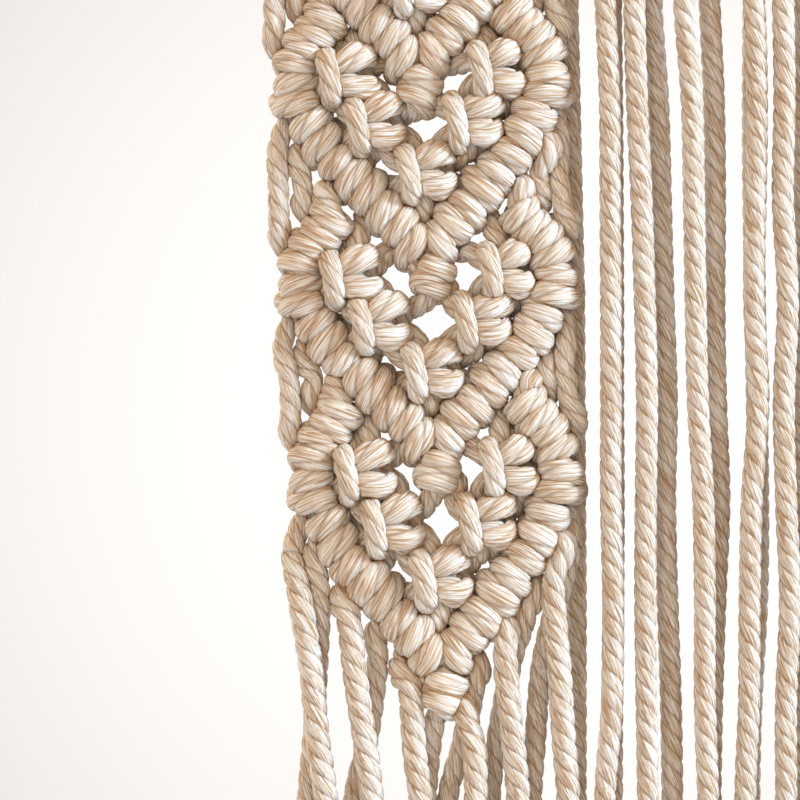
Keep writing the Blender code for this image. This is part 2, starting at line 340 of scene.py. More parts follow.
def tie_hitch(route, motif, mirror, spot, way, spacing, wrap=WRAP_RADIUS, full=1.0, contact=HITCH_CONTACT):
    """A double half hitch of this cord round the leader that passes spot in this direction."""
    side = np.array([-way[1], way[0]])
    if side[1] < 0:
        side = -side
    looseness = HAND.uniform(*WRAP_LOOSENESS, len(LOOSENESS_AT))
    ends = (HITCH_ROWS[0][1], HITCH_ROWS[-1][1])
    for along, turn, radius, hold in HITCH_ROWS:
        angle = math.radians(turn)
        reach = radius * wrap
        u, v = spot + way * along * spacing + side * reach * math.cos(angle)
        n = reach * math.sin(angle)
        twist = 1.0 if turn in ends else KNOT_TWIST
        fullness = full * np.interp(-turn, LOOSENESS_AT, looseness)
        route.add(motif, mirror * u, v, n, hold, contact * fullness, twist, fullness)


def tie_square_knot(routes, motif, u, v):
    """A square knot of four cords, given from left to right, with its bump on the left."""
    left, first_core, second_core, right = routes
    for route, rows, draw in ((left, LEFT_WORKING, LEFT_DRAW), (right, RIGHT_WORKING, RIGHT_DRAW)):
        for du, dv, dn, full in rows:
            if dv < KNOT_TOP or route.is_above(motif, u + du, v + dv):
                route.add(motif, u + du, v + dv, dn, *draw, full)
    for route, du in ((first_core, -CORE_OFFSET), (second_core, CORE_OFFSET)):
        for dv, dn in CORE:
            if dv < KNOT_TOP or route.is_above(motif, u + du, v + dv):
                route.add(motif, u + du, v + dv, dn, *CORE_DRAW)


def heading_leg_x(index):
    """Where the heading lets a cord down: two for each knot."""
    return (index + 0.5 - HEADING_KNOTS) * KNOT_PITCH / 2


def line_length(points):
    return float(np.linalg.norm(np.diff(np.array(points, float), axis=0), axis=1).sum())


def tie_band(routes, cords, motif, mirror, band, hitches, leader):
    """Half a motif's band: hitches each cord in turn on the leader, which runs along the band."""
    wide, tall = MOTIFS[motif][2:4]

    def lay(cord, rows, hold):
        for u, v, n in rows:
            routes[cord].add(motif, mirror * u * wide, v * tall, n, hold)

    line = [(u * wide, v * tall) for u, v in band]
    stretch = line_length(line) / line_length(band)
    from_motif_above = band is UPPER_BAND and motif > 0
    if from_motif_above:
        lay(leader, LEADER_IN, FREE_HOLD)
    for u, v in line:
        routes[leader].add(motif, mirror * u, v, 0.0, LEADER_HOLD, LEADER_CONTACT)
    for number, ((hitch, spacing), cord) in enumerate(zip(hitches, cords)):
        if from_motif_above:
            lay(cord, FREE_CORDS[mirror][number], FREE_HOLD)
        spot, way = along_line(line, hitch * stretch)
        tie_hitch(routes[cord], motif, mirror, spot, way, spacing * stretch)
        if band is not UPPER_BAND and number == 0:
            # the edge cord turns down behind the corner instead of leaving its hitch straight
            del routes[cord].rows[-2:]
            lay(cord, CORNER_EXIT[mirror], CORNER_HOLD)


def side_of(order, mirror):
    """The left or, mirrored, the right half's cords, from the strip's edge inwards."""
    return order[:HALF] if mirror == 1 else order[: HALF - 1 : -1]


def put_side(order, mirror, side):
    if mirror == 1:
        order[:HALF] = side
    else:
        order[HALF:] = side[::-1]


def strip_routes():
    """The strip's cords, knotted motif by motif from the heading down, and their last order."""
    routes = [Route() for _ in range(STRIP_CORDS)]
    order = list(range(STRIP_CORDS))
    for index, route in enumerate(routes):
        x = heading_leg_x(index)
        route.add_world(x, 0.0, HEADING_FOOT + IN_HEADING, 1.0)
        route.add_world(x, 0.0, HEADING_FOOT, 1.0)
    for motif, (_, _, wide, tall, last_u, last_v) in enumerate(MOTIFS):
        # the upper bands: the third cord from each edge leads outwards
        for mirror in (1, -1):
            outermost, second, third, *others = side_of(order, mirror)
            tie_band(routes, (second, outermost), motif, mirror, UPPER_BAND, UPPER_HITCHES, third)
            put_side(order, mirror, [third, outermost, second, *others])
        for u, v, first in SQUARE_KNOTS:
            four = [routes[order[first + k]] for k in range(4)]
            tie_square_knot(four, motif, u * wide * KNOTS_WIDE[motif], v * tall)
        # the lower bands: the outermost cord leads back to the middle
        for mirror in (1, -1):
            outermost, *others = side_of(order, mirror)
            band = LOWER_BAND[: -1 if mirror == 1 else None]
            tie_band(routes, others, motif, mirror, band, LOWER_HITCHES, outermost)
            put_side(order, mirror, [*others, outermost])
        # the tip: the right leader goes on down to the left, and the left one is hitched on it
        left, right = routes[order[HALF - 1]], routes[order[HALF]]
        tie_hitch(left, motif, 1, np.array((last_u, last_v)), np.array(TIP_WAY), *LAST_HITCH)
        for du, dv, n, hold, contact in TIP_LEADER:
            right.add(motif, last_u + du, last_v + dv, n, hold, contact)
        order[HALF - 1], order[HALF] = order[HALF], order[HALF - 1]
    return routes, order


# The fringe's cords below the lowest band, at four levels and at the lower end. A cord goes straight to the
# first level that is this far below its last knot.
FRINGE_LEVELS = (-158.0, -170.0, -184.0, -195.0)
FRINGE_DROP = 5.0
FRINGE = (
    # x and y at the four levels and at the end
    ((-45.4, -1.6), (-43.5, -2.2), (-42.1, -2.2), (-40.6, -2.2), (-37.0, -2.2)),
    ((-41.8, 0.8), (-42.4, 2.2), (-43.2, 2.4), (-44.2, 2.4), (-47.0, 2.4)),
    ((-37.0, -1.6), (-35.6, -2.2), (-33.6, -2.2), (-32.3, -2.2), (-30.5, -2.2)),
    ((-31.8, 0.6), (-31.4, 2.2), (-33.2, 2.4), (-35.8, 2.4), (-38.0, 2.4)),
    ((-27.0, 0.6), (-26.4, -0.6), (-24.8, -2.0), (-23.5, -2.2), (-20.5, -2.2)),
    ((-24.0, 0.0), (-21.6, 1.6), (-21.2, 2.4), (-22.6, 2.4), (-26.5, 2.4)),
    ((-16.0, 0.0), (-15.3, -2.2), (-14.0, -2.2), (-13.5, -2.2), (-12.0, -2.2)),
    ((-11.0, 0.6), (-12.2, 1.8), (-15.8, 2.4), (-18.7, 2.4), (-21.0, 2.4)),
    ((-8.4, -0.8), (-8.2, -2.2), (-6.8, -2.2), (-5.8, -2.2), (-3.0, -2.2)),
    ((-5.2, 0.6), (-7.0, 2.2), (-9.6, 2.4), (-10.9, 2.4), (-11.5, 2.4)),
    ((0.6, -1.0), (1.5, -2.2), (2.4, -2.2), (3.3, -2.2), (4.4, -2.2)),
    ((1.4, 1.4), (-1.4, 2.4), (-2.6, 2.4), (-3.3, 2.4), (-2.0, 2.4)),
)


def hang_fringe(routes, order):
    """Carries the strip's cords on down to the lower end, and says where each one's fringe starts."""
    starts = []
    for position, index in enumerate(order):
        route = routes[index]
        starts.append(len(route.rows) - 1)
        for z, (x, y) in zip((*FRINGE_LEVELS, BOTTOM_Z), FRINGE[position]):
            if z < route.rows[-1][2] - FRINGE_DROP:
                route.add_world(x, y, z, HANGING_HOLD, FRINGE_CONTACT)
    return starts


def smooth_rows(rows, step):
    """Rows about a step apart on a centripetal Catmull-Rom curve, and each given row's place among them."""
    rows = np.array(rows, float)
    rows = np.vstack([2 * rows[0] - rows[1], rows, 2 * rows[-1] - rows[-2]])
    gaps = np.sqrt(np.maximum(np.linalg.norm(np.diff(rows[:, :3], axis=0), axis=1), 1e-6))
    made, at = [rows[1]], [0]
    for i in range(1, len(rows) - 2):
        p0, p1, p2, p3 = rows[i - 1 : i + 3]
        t1 = gaps[i - 1]
        t2 = t1 + gaps[i]
        t3 = t2 + gaps[i + 1]
        count = max(1, round(float(np.linalg.norm(p2[:3] - p1[:3])) / step))
        t = np.linspace(t1, t2, count + 1)[1:, None]
        a1 = (t1 - t) / t1 * p0 + t / t1 * p1
        a2 = (t2 - t) / (t2 - t1) * p1 + (t - t1) / (t2 - t1) * p2
        a3 = (t3 - t) / (t3 - t2) * p2 + (t - t2) / (t3 - t2) * p3
        b1 = (t2 - t) / t2 * a1 + t / t2 * a2
        b2 = (t3 - t) / (t3 - t1) * a2 + (t - t1) / (t3 - t1) * a3
        made.extend((t2 - t) / (t2 - t1) * b1 + (t - t1) / (t2 - t1) * b2)
        at.append(len(made) - 1)
    made = np.array(made)
    rows = rows[1:-1]
    place_of = np.arange(len(made))
    # what isn't a place runs evenly from row to row
    made[:, 3:] = np.stack([np.interp(place_of, at, rows[:, k]) for k in range(3, rows.shape[1])], 1)
    return made, at


def close_pairs(points, reach):
    """Pairs of points nearer than reach, as two arrays of indices."""
    cells = np.floor(points / reach).astype(np.int64)
    cells -= cells.min(0) - 1
    sizes = cells.max(0) + 2
    keys = (cells[:, 0] * sizes[1] + cells[:, 1]) * sizes[2] + cells[:, 2]
    by_key = np.argsort(keys, kind="stable")
    ordered = keys[by_key]
    firsts, seconds = [], []
    for dx, dy, dz in itertools.product((-1, 0, 1), repeat=3):
        wanted = keys + (dx * sizes[1] + dy) * sizes[2] + dz
        low = np.searchsorted(ordered, wanted, "left")
        high = np.searchsorted(ordered, wanted, "right")
        counts = high - low
        first = np.repeat(np.arange(len(points)), counts)
        ranks = np.arange(counts.sum()) - np.repeat(np.cumsum(counts) - counts, counts)
        second = by_key[np.repeat(low, counts) + ranks]
        kept = first < second
        firsts.append(first[kept])
        seconds.append(second[kept])
    first, second = np.concatenate(firsts), np.concatenate(seconds)
    near = np.linalg.norm(points[first] - points[second], axis=1) < reach
    return first[near], second[near]


def neighbours(points, cord, reach, apart):
    """Close pairs of points on different cords, or on one cord and more than so many steps apart."""
    first, second = close_pairs(points, reach)
    keep = (cord[first] != cord[second]) | (np.abs(first - second) > apart)
    return first[keep], second[keep]


def settle(chains):
    """Draws the cords tight and presses them apart where they meet. A chain holds one cord's rows."""
    points = np.vstack([chain[:, :3] for chain in chains])
    home = points.copy()
    hold = np.concatenate([chain[:, 3] for chain in chains])[:, None]
    contact = np.concatenate([chain[:, 4] for chain in chains])
    cord = np.concatenate([np.full(len(chain), k) for k, chain in enumerate(chains)])
    ends = np.cumsum([len(chain) for chain in chains])
    inner = np.delete(np.arange(len(points)), [*(ends - 1), 0, *ends[:-1]])
    weight = 1.0 / (1.0 + KEPT_WEIGHT * hold[:, 0])
    for round_number in range(SETTLE_ROUNDS):
        if round_number % NEIGHBOURS_EVERY == 0:
            first, second = neighbours(points, cord, NEIGHBOUR_REACH, SETTLE_APART)
            least = contact[first] + contact[second]
            share = (weight[first] / (weight[first] + weight[second]))[:, None]
        middle = (points[inner - 1] + points[inner + 1]) / 2
        points[inner] += STRAIGHTENING * (middle - points[inner])
        for _ in range(PARTINGS_A_ROUND):
            gap = points[second] - points[first]
            distance = np.linalg.norm(gap, axis=1)
            over = np.maximum(least - distance, 0.0)
            hit = over > 0
            shift = gap[hit] / np.maximum(distance[hit], 1e-6)[:, None] * (PARTING * over[hit])[:, None]
            moved = np.zeros_like(points)
            count = np.zeros(len(points))
            np.add.at(moved, first[hit], -shift * share[hit])
            np.add.at(moved, second[hit], shift * (1 - share[hit]))
            np.add.at(count, first[hit], 1)
            np.add.at(count, second[hit], 1)
            # with more than two neighbours a place moves by twice their mean, so that it doesn't jump
            points += moved / np.maximum(1.0, count * 0.5)[:, None]
        points += hold * (home - points)
    settled = []
    for chain, places in zip(chains, np.split(points, ends[:-1])):
        settled.append(np.hstack([places, chain[:, 3:]]))
    return settled


def carry_frames(points):
    """Directions along the cord and two across it that don't turn about it, at each point."""
    along = np.gradient(points, axis=0)
    along /= np.linalg.norm(along, axis=1)[:, None]
    across = np.empty_like(along)
    start = np.cross(along[0], (0.0, 1.0, 0.0))
    if np.linalg.norm(start) < 0.1:
        start = np.cross(along[0], (1.0, 0.0, 0.0))
    across[0] = start / np.linalg.norm(start)
    for i in range(1, len(points)):
        turned = across[i - 1] - along[i] * (across[i - 1] @ along[i])
        across[i] = turned / np.linalg.norm(turned)
    return along, across, np.cross(along, across)


def ply_outline():
    """How far the cord's surface is from its middle round one ring, as shares of its radius."""
    angle = np.arange(RING_POINTS + 1) * 2 * math.pi / RING_POINTS
    from_ply = np.abs((angle + math.pi / PLIES) % (2 * math.pi / PLIES) - math.pi / PLIES)
    return angle, np.interp(np.degrees(from_ply), *zip(*PLY_PROFILE))


class Sweep:
    """A stretch of cord as rings of points, before the cords press on each other."""

    def __init__(self, name, rows, turn, width=1.0):
        self.name = name
        self.centres = rows[:, :3]
        steps = np.linalg.norm(np.diff(self.centres, axis=0), axis=1)
        self.reached = np.concatenate([[0], np.cumsum(steps)])
        rate = (rows[1:, 5] + rows[:-1, 5]) / 2
        turns = np.concatenate([[0], np.cumsum(steps * rate)]) / PLY_PITCH
        ply_turn = turn - 2 * math.pi * turns
        self.yarn_turn = (1 - YARN_LAY) * ply_turn
        self.along, across, up = carry_frames(self.centres)
        self.angle, outline = ply_outline()
        twisted = np.clip((rows[:, 5] - KNOT_TWIST) / (1 - KNOT_TWIST), 0, 1)
        self.depth = KNOT_GROOVE + (1 - KNOT_GROOVE) * twisted
        radius = CORD_RADIUS * width * rows[:, 6]
        reach = 1 - (1 - outline[None, :-1]) * self.depth[:, None]
        spin = self.angle[None, :-1] + ply_turn[:, None]
        out = (radius[:, None] * reach)[:, :, None] * (
            np.cos(spin)[:, :, None] * across[:, None, :] + np.sin(spin)[:, :, None] * up[:, None, :]
        )
        self.points = self.centres[:, None, :] + self.flattened(out)

    def flattened(self, out):
        """The rings' points from their middles, thinner towards a bend's middle and wider beside it."""
        bend = np.gradient(self.along, axis=0)
        bend = bend / np.maximum(np.gradient(self.reached), LEAST_STEP)[:, None]
        for _ in range(BEND_SMOOTHINGS):
            bend[1:-1] = (bend[:-2] + 2 * bend[1:-1] + bend[2:]) / 4
        strength = np.linalg.norm(bend, axis=1)
        inwards = bend / np.maximum(strength, 1e-9)[:, None]
        beside = np.cross(self.along, inwards)
        share = np.clip(strength / FULL_BEND, 0, 1)[:, None, None]
        towards = np.einsum("rpk,rk->rp", out, inwards)
        sideways = np.einsum("rpk,rk->rp", out, beside)[:, :, None] * beside[:, None, :]
        # the inner side of a tight bend stops short of the bend's middle
        inner_reach = BEND_INNER_REACH / np.maximum(strength, LEAST_BEND)[:, None]
        kept = np.minimum(towards * (1 - BEND_THINS * share[:, :, 0]), inner_reach)
        return out + (share * BEND_WIDENS * sideways + (kept - towards)[:, :, None] * inwards[:, None, :])


def press_together(sweeps):
    """Flattens each cord where it meets another, half way between their middle lines, and notes where, for
    the painted shade of contacts.
    """
    centres = np.vstack([s.centres for s in sweeps])
    cord = np.concatenate([np.full(len(s.centres), k) for k, s in enumerate(sweeps)])
    points = np.vstack([s.points for s in sweeps])
    touch = np.zeros(points.shape[:2])
    first, second = neighbours(centres, cord, CORD_DIAMETER * PRESS_REACH, PRESS_APART)
    first, second = np.concatenate([first, second]), np.concatenate([second, first])
    way = centres[second] - centres[first]
    distance = np.linalg.norm(way, axis=1)
    order = np.argsort(-distance, kind="stable")
    first, way, distance = first[order], way[order], distance[order]
    way = way / distance[:, None]
    # each ring's neighbours are taken one at a time, the nearest last
    by_ring = np.argsort(first, kind="stable")
    first, way, distance = first[by_ring], way[by_ring], distance[by_ring]
    begins = np.searchsorted(first, np.arange(len(centres)))
    rank = np.arange(len(first)) - begins[first]
    for k in range(int(rank.max()) + 1):
        these = rank == k
        ring = first[these]
        limit = distance[these] / 2 + FIBRES_MESH
        over = np.einsum("rpk,rk->rp", points[ring] - centres[ring][:, None, :], way[these])
        over -= limit[:, None]
        # the colour gets painted shade, warm brown, where the surface comes near a neighbour's
        touch[ring] = np.maximum(touch[ring], np.clip(over / CONTACT_SHADE + 1, 0, 1))
        points[ring] -= np.maximum(over, 0.0)[:, :, None] * way[these][:, None, :]
    ends = np.cumsum([len(s.centres) for s in sweeps])[:-1]
    for s, places, touches in zip(sweeps, np.split(points, ends), np.split(touch, ends)):
        s.points, s.touch = places, touches


def fluff(sweep, low, high, rng):
    """Stray fibres on a stretch of cord: thin triangles' corners, and each one's ring and column."""
    count = int((high - low) * FLUFF)
    ring = rng.integers(low, high, count)
    column = rng.integers(0, RING_POINTS, count)
    root = sweep.points[ring, column]
    out = root - sweep.centres[ring]
    out /= np.linalg.norm(out, axis=1)[:, None]
    along = sweep.along[ring] * rng.choice((-1.0, 1.0), count)[:, None]
    beside = np.cross(along, out)
    rise = rng.uniform(*FLUFF_RISE, count)[:, None]
    lean = rng.uniform(*FLUFF_LEAN, count)[:, None]
    way = along + out * rise + beside * lean
    way /= np.linalg.norm(way, axis=1)[:, None]
    tip = root + way * rng.uniform(*FLUFF_LENGTH, count)[:, None]
    root = root - out * FLUFF_ROOT
    corners = np.stack([root - beside * FLUFF_HALF_WIDTH, root + beside * FLUFF_HALF_WIDTH, tip], 1)
    return corners, ring, column


def ring_faces(count):
    """The faces between so many rings of points."""
    ring = np.arange(count - 1)[:, None] * RING_POINTS
    column = np.arange(RING_POINTS)[None, :]
    after = (column + 1) % RING_POINTS
    corners = (ring + column, ring + after, ring + RING_POINTS + after, ring + RING_POINTS + column)
    return np.stack(np.broadcast_arrays(*corners), -1).reshape(-1, 4)


def face_corners(around, reached):
    """A texture's place at each of those faces' corners, from its place round and along the cord."""
    pair = np.stack(np.broadcast_arrays(around, reached), -1)
    return np.stack([pair[:-1, :-1], pair[:-1, 1:], pair[1:, 1:], pair[1:, :-1]], 2).reshape(-1, 2)


def cord_mesh(name, stretches, tone, rng):
    """One piece from stretches of cord, each (sweep, first ring, last ring)."""
    vertices, faces, caps, hairs = [], [], [], []
    yarn, ply, depth, touch, hair_yarn = [], [], [], [], []
    offset = 0
    for sweep, low, high in stretches:
        rings = sweep.points[low : high + 1]
        vertices.append(rings.reshape(-1, 3))
        depth.append(np.repeat(sweep.depth[low : high + 1], RING_POINTS))
        touch.append(sweep.touch[low : high + 1].ravel())
        faces.append(offset + ring_faces(len(rings)))
        cap = offset + np.arange(RING_POINTS)
        caps += [cap[::-1], cap + (len(rings) - 1) * RING_POINTS]
        reached = sweep.reached[low : high + 1, None]
        spin = (sweep.angle[None, :] + sweep.yarn_turn[low : high + 1, None]) * CORD_RADIUS
        yarn.append(face_corners(spin, reached))
        ply.append(face_corners(sweep.angle[None, :] * PLIES / (2 * math.pi), reached))
        offset += len(rings) * RING_POINTS
    for sweep, low, high in stretches:
        corners, ring, column = fluff(sweep, low, high, rng)
        vertices.append(corners.reshape(-1, 3))
        depth.append(np.zeros(len(corners) * 3))
        touch.append(np.zeros(len(corners) * 3))
        hairs.append(offset + np.arange(len(corners) * 3))
        offset += len(corners) * 3
        spin = (sweep.angle[column] + sweep.yarn_turn[ring]) * CORD_RADIUS
        hair_yarn.append(np.repeat(np.stack([spin, sweep.reached[ring]], -1), 3, axis=0))
    polygons = (np.vstack(faces), np.array(caps), np.concatenate(hairs).reshape(-1, 3))
    hair_yarn = np.vstack(hair_yarn)
    cap_corners = np.zeros((polygons[1].size, 2))
    textures = {
        "yarn": np.vstack([*yarn, cap_corners, hair_yarn]),
        "ply": np.vstack([*ply, cap_corners, np.zeros_like(hair_yarn)]),
    }
    shades = {
        "tone": np.full(offset, tone),
        "depth": np.concatenate(depth),
        "touch": np.concatenate(touch),
    }
    return make_piece(name, np.vstack(vertices) * MM, polygons, textures, shades)


def make_piece(name, vertices, polygons, textures, shades):
    """An object from its polygons, the first kind smooth, and its textures' places and shades."""
    mesh = bpy.data.meshes.new(name)
    mesh.vertices.add(len(vertices))
    mesh.vertices.foreach_set("co", vertices.astype(np.float32).ravel())
    corners = np.concatenate([kind.ravel() for kind in polygons])
    mesh.loops.add(len(corners))
    mesh.loops.foreach_set("vertex_index", corners.astype(np.int32))
    totals = np.concatenate([np.full(len(kind), kind.shape[1]) for kind in polygons])
    starts = np.concatenate([[0], np.cumsum(totals)[:-1]])
    mesh.polygons.add(len(starts))
    mesh.polygons.foreach_set("loop_start", starts.astype(np.int32))
    mesh.polygons.foreach_set("loop_total", totals.astype(np.int32))
    mesh.polygons.foreach_set("use_smooth", np.arange(len(starts)) < len(polygons[0]))
    for texture_name, places in textures.items():
        layer = mesh.uv_layers.new(name=texture_name)
        layer.uv.foreach_set("vector", places.astype(np.float32).ravel())
    for shade_name, values in shades.items():
        shade = mesh.attributes.new(shade_name, "FLOAT", "POINT")
        shade.data.foreach_set("value", values.astype(np.float32))
    mesh.update(calc_edges=True)
    mesh.validate()
    piece = bpy.data.objects.new(name, mesh)
    bpy.context.scene.collection.objects.link(piece)
    return piece


CURTAIN_LEVELS = (-27.0, -49.0, -67.5, -85.0, -103.6, -121.8, -140.0, -158.2, -176.4, -194.5, BOTTOM_Z)
CURTAIN = (
    # y in front of or behind the heading's middle, then x at each level
    (7.2, (2.8, 3.6, 4.0, 4.4, 4.8, 4.9, 5.0, 5.1, 5.1, 5.1, 5.0)),
    (-2.3, (8.2, 9.8, 10.7, 10.8, 10.9, 10.9, 10.9, 11.3, 11.1, 9.8, 10.4)),
    (3.0, (11.2, 11.3, 11.5, 11.6, 11.7, 11.7, 11.8, 11.7, 11.5, 11.5, 12.6)),
    (-2.3, (14.9, 15.1, 15.6, 16.4, 17.0, 17.4, 17.2, 17.1, 17.35, 17.6, 18.0)),
    (3.0, (18.8, 18.7, 19.9, 20.4, 20.9, 21.5, 21.2, 21.6, 22.2, 22.5, 23.0)),
    (-2.3, (23.8, 24.1, 25.5, 25.9, 26.2, 26.6, 27.6, 27.9, 27.9, 28.5, 29.5)),
    (3.0, (28.8, 29.3, 30.1, 30.3, 30.2, 30.5, 31.1, 30.4, 29.8, 29.5, 30.0)),
    (-2.3, (34.9, 36.8, 37.3, 37.1, 36.8, 37.6, 36.4, 36.0, 35.9, 35.2, 35.5)),
    (3.0, (37.2, 37.3, 37.2, 37.3, 37.6, 37.9, 38.2, 38.0, 37.0, 36.6, 38.5)),
    (-2.3, (41.0, 42.0, 42.3, 42.0, 42.9, 42.2, 42.6, 43.3, 42.6, 42.6, 42.5)),
    (3.0, (46.2, 46.7, 46.6, 46.5, 46.5, 46.4, 46.6, 46.5, 46.6, 46.7, 47.0)),
    (-2.3, (50.2, 50.4, 50.6, 50.7, 50.8, 50.9, 50.8, 50.8, 51.0, 51.1, 52.5)),
)
# How far above and below the heading's foot a curtain cord starts, each with its y
CURTAIN_START = ((1.6, -1.0), (-2.0, -0.6))
CURTAIN_WIDTH = 1.03


def curtain_routes():
    routes = []
    for index, (y, spots) in enumerate(CURTAIN):
        route = Route()
        x = heading_leg_x(HEADING_KNOTS + index)
        for from_foot, start_y in CURTAIN_START:
            route.add_world(x, start_y, HEADING_FOOT + from_foot, 1.0)
        for spot, z in zip(spots, CURTAIN_LEVELS):
            route.add_world(spot, y, z, HANGING_HOLD)
        routes.append(route)
    return routes


# A lark's head knot, from its middle: half the cord, from the bar that crosses in front to the leg
LARKS_HEAD = (
    # x, y, z
    (0.0, -6.5, -9.4),
    (1.4, -6.2, -9.5),
    (2.7, -4.4, -9.9),
    (3.2, -1.6, -10.3),
    (3.0, 1.6, -9.4),
    (2.5, 3.3, -6.2),
    (2.2, 2.9, -3.4),
    (2.1, 0.6, -1.95),
    (2.1, -2.0, -2.6),
    (2.1, -3.3, -5.2),
    (2.1, -3.4, -8.0),
    (2.15, -2.2, -10.4),
    (2.15, -1.0, -12.0),
)
LARKS_HEAD_HOLD = 0.1
LARKS_HEAD_CONTACT = 1.75
LARKS_HEAD_TWIST = 0.5
# The holding cord stands out this far beyond its knots' places
HOLDING_CORD_OUT = 5.8
HOLDING_CORD_PLACES = 15
HOLDING_CONTACT = 1.9


def heading_routes():
    """The lark's head knots and the holding cord through them."""
    knots = []
    for knot in range(HEADING_KNOTS):
        middle = (knot + 0.5 - HEADING_KNOTS / 2) * KNOT_PITCH
        route = Route()
        for side, rows in ((-1, LARKS_HEAD[::-1]), (1, LARKS_HEAD[1:])):
            for x, y, z in rows:
                route.add_world(
                    middle + side * x, y, z, LARKS_HEAD_HOLD, LARKS_HEAD_CONTACT, LARKS_HEAD_TWIST
                )
        knots.append(route)
    holding = Route()
    half = HEADING_KNOTS * KNOT_PITCH / 2 + HOLDING_CORD_OUT
    for x in np.linspace(-half, half, HOLDING_CORD_PLACES):
        holding.add_world(x, 0.0, HOLDING_Z, 1.0, HOLDING_CONTACT)
    return knots, holding


# The cotton's noises over the yarns
NOISES = {
    # how fine across and along the cord, detail, seed, roughness
    "wander": (0.4, 0.1, 2.0, 3.1, 0.55),
    "fibres": (4.0, 0.17, 3.0, 11.7, 0.65),
    "hairs": (8.0, 0.35, 2.0, 17.3, 0.6),
    "patches": (0.2, 0.06, 3.0, 23.9, 0.55),
    "parting": (1.5, 0.085, 2.0, 29.3, 0.55),
}
# How far a piece's own tone moves its noises' seeds
TONE_SEED = 37.0
# The lines between yarns: a yarn's width, and how much the lines wander, in radians
YARN_WIDTH = 0.78
YARN_WANDER = 16.0
# Thin dark lines where the strands part, painted shade in those gaps: how sharp they are, and how the hairs
# break them up
PARTING_SHARPNESS = 14.0
PARTING_BREAKS = (2.0, -0.3)
# The grooves between the plies, painted darker as shade: half their width as a share of a ply, how the
# fibres break them up, how fast they fade where the cord is less deeply grooved, and how much of their
# colour shows at most
GROOVE_HALF_WIDTH = 0.12
GROOVE_BREAKS = (1.9, -0.45)
GROOVE_FADES = 1.5
GROOVE_MOST = 0.85
# How much of each part goes into the bumps' height and into the place on the colour ramp
IN_HEIGHT = {"lines": 0.16, "fibres": 2.6, "hairs": 1.1, "parting": -1.1}
# a piece's tone darkens its colour a little: at random, and as painted shade on the curtain's back cords,
# whose tones are highest
IN_COLOUR = {"lines": 0.07, "fibres": 2.0, "hairs": 1.3, "patches": 0.5, "parting": -0.32, "tone": -0.03}
# The place on the ramp where the noises have their mean, one half
RAMP_MEAN = 0.55
RAMP_START = RAMP_MEAN - (IN_COLOUR["fibres"] + IN_COLOUR["hairs"] + IN_COLOUR["patches"]) / 2
# The bumps' strength, and their height in metres
BUMP_STRENGTH = 0.9
BUMP_DISTANCE = 0.0002
DARK_YARN = (0.15, (0.50, 0.32, 0.18, 1))
MIDDLE_YARN = (0.5, (0.76, 0.69, 0.605, 1))
PALE_YARN = (0.85, (0.90, 0.92, 0.93, 1))
GROOVE_PAINTED_SHADE = (0.34, 0.165, 0.065, 1)
# The painted shade of contacts, a warm brown where cords touch: its colour, how fast it fades and how much
# of it shows at most
PAINTED_CONTACT_SHADE_COLOUR = (0.76, 0.49, 0.27, 1)
CONTACT_FADES = 2.0
CONTACT_MOST = 0.85
COTTON_SHADER = {
    "Roughness": 0.88,
    "Specular IOR Level": 0.08,
    "Sheen Weight": 0.06,
    "Sheen Roughness": 0.6,
    "Sheen Tint": (1.0, 0.86, 0.70, 1.0),
    "Subsurface Weight": 0.3,
    "Subsurface Radius": (1.0, 0.62, 0.36),
    "Subsurface Scale": 0.0012,
}


class Nodes:
    """A material's nodes, with short ways to add to them."""

    def __init__(self, material):
        self.nodes, self.links = material.node_tree.nodes, material.node_tree.links
        self.shader = self.nodes["Principled BSDF"]

    def node(self, kind, **values):
        """A new node with these inputs or, where it has no such input, settings."""
        node = self.nodes.new(kind)
        for key, value in values.items():
            if key in node.inputs.keys():
                node.inputs[key].default_value = value
            else:
                setattr(node, key, value)
        return node

    def maths(self, operation, *terms):
        """A result worked out of numbers and other nodes' values."""
        node = self.node("ShaderNodeMath", operation=operation)
        for socket, term in zip(node.inputs, terms):
            if isinstance(term, (int, float)):
                socket.default_value = term
            else:
                self.links.new(term, socket)
        return node.outputs[0]

    def attribute(self, name):
        return self.node("ShaderNodeAttribute", attribute_name=name).outputs["Fac"]

    def texture_place(self, name):
        """A texture's place round and along the cord."""
        split = self.nodes.new("ShaderNodeSeparateXYZ")
        self.links.new(self.node("ShaderNodeUVMap", uv_map=name).outputs[0], split.inputs[0])
        return split.outputs[0], split.outputs[1]

    def noise(self, places, seed, detail, roughness):
        vector = self.nodes.new("ShaderNodeCombineXYZ")
        for socket, value in zip(vector.inputs, (*places, seed)):
            self.links.new(value, socket)
        node = self.node("ShaderNodeTexNoise", Scale=1.0, Detail=detail, Roughness=roughness)
        self.links.new(vector.outputs[0], node.inputs["Vector"])
        return node.outputs["Fac"]

    def mix(self, share, base, colour):
        """A colour over the base one, as much of it as the share says."""
        node = self.node("ShaderNodeMix", data_type="RGBA")
        self.links.new(share, node.inputs["Factor"])
        self.links.new(base, node.inputs["A"])
        node.inputs["B"].default_value = colour
        return node.outputs["Result"]


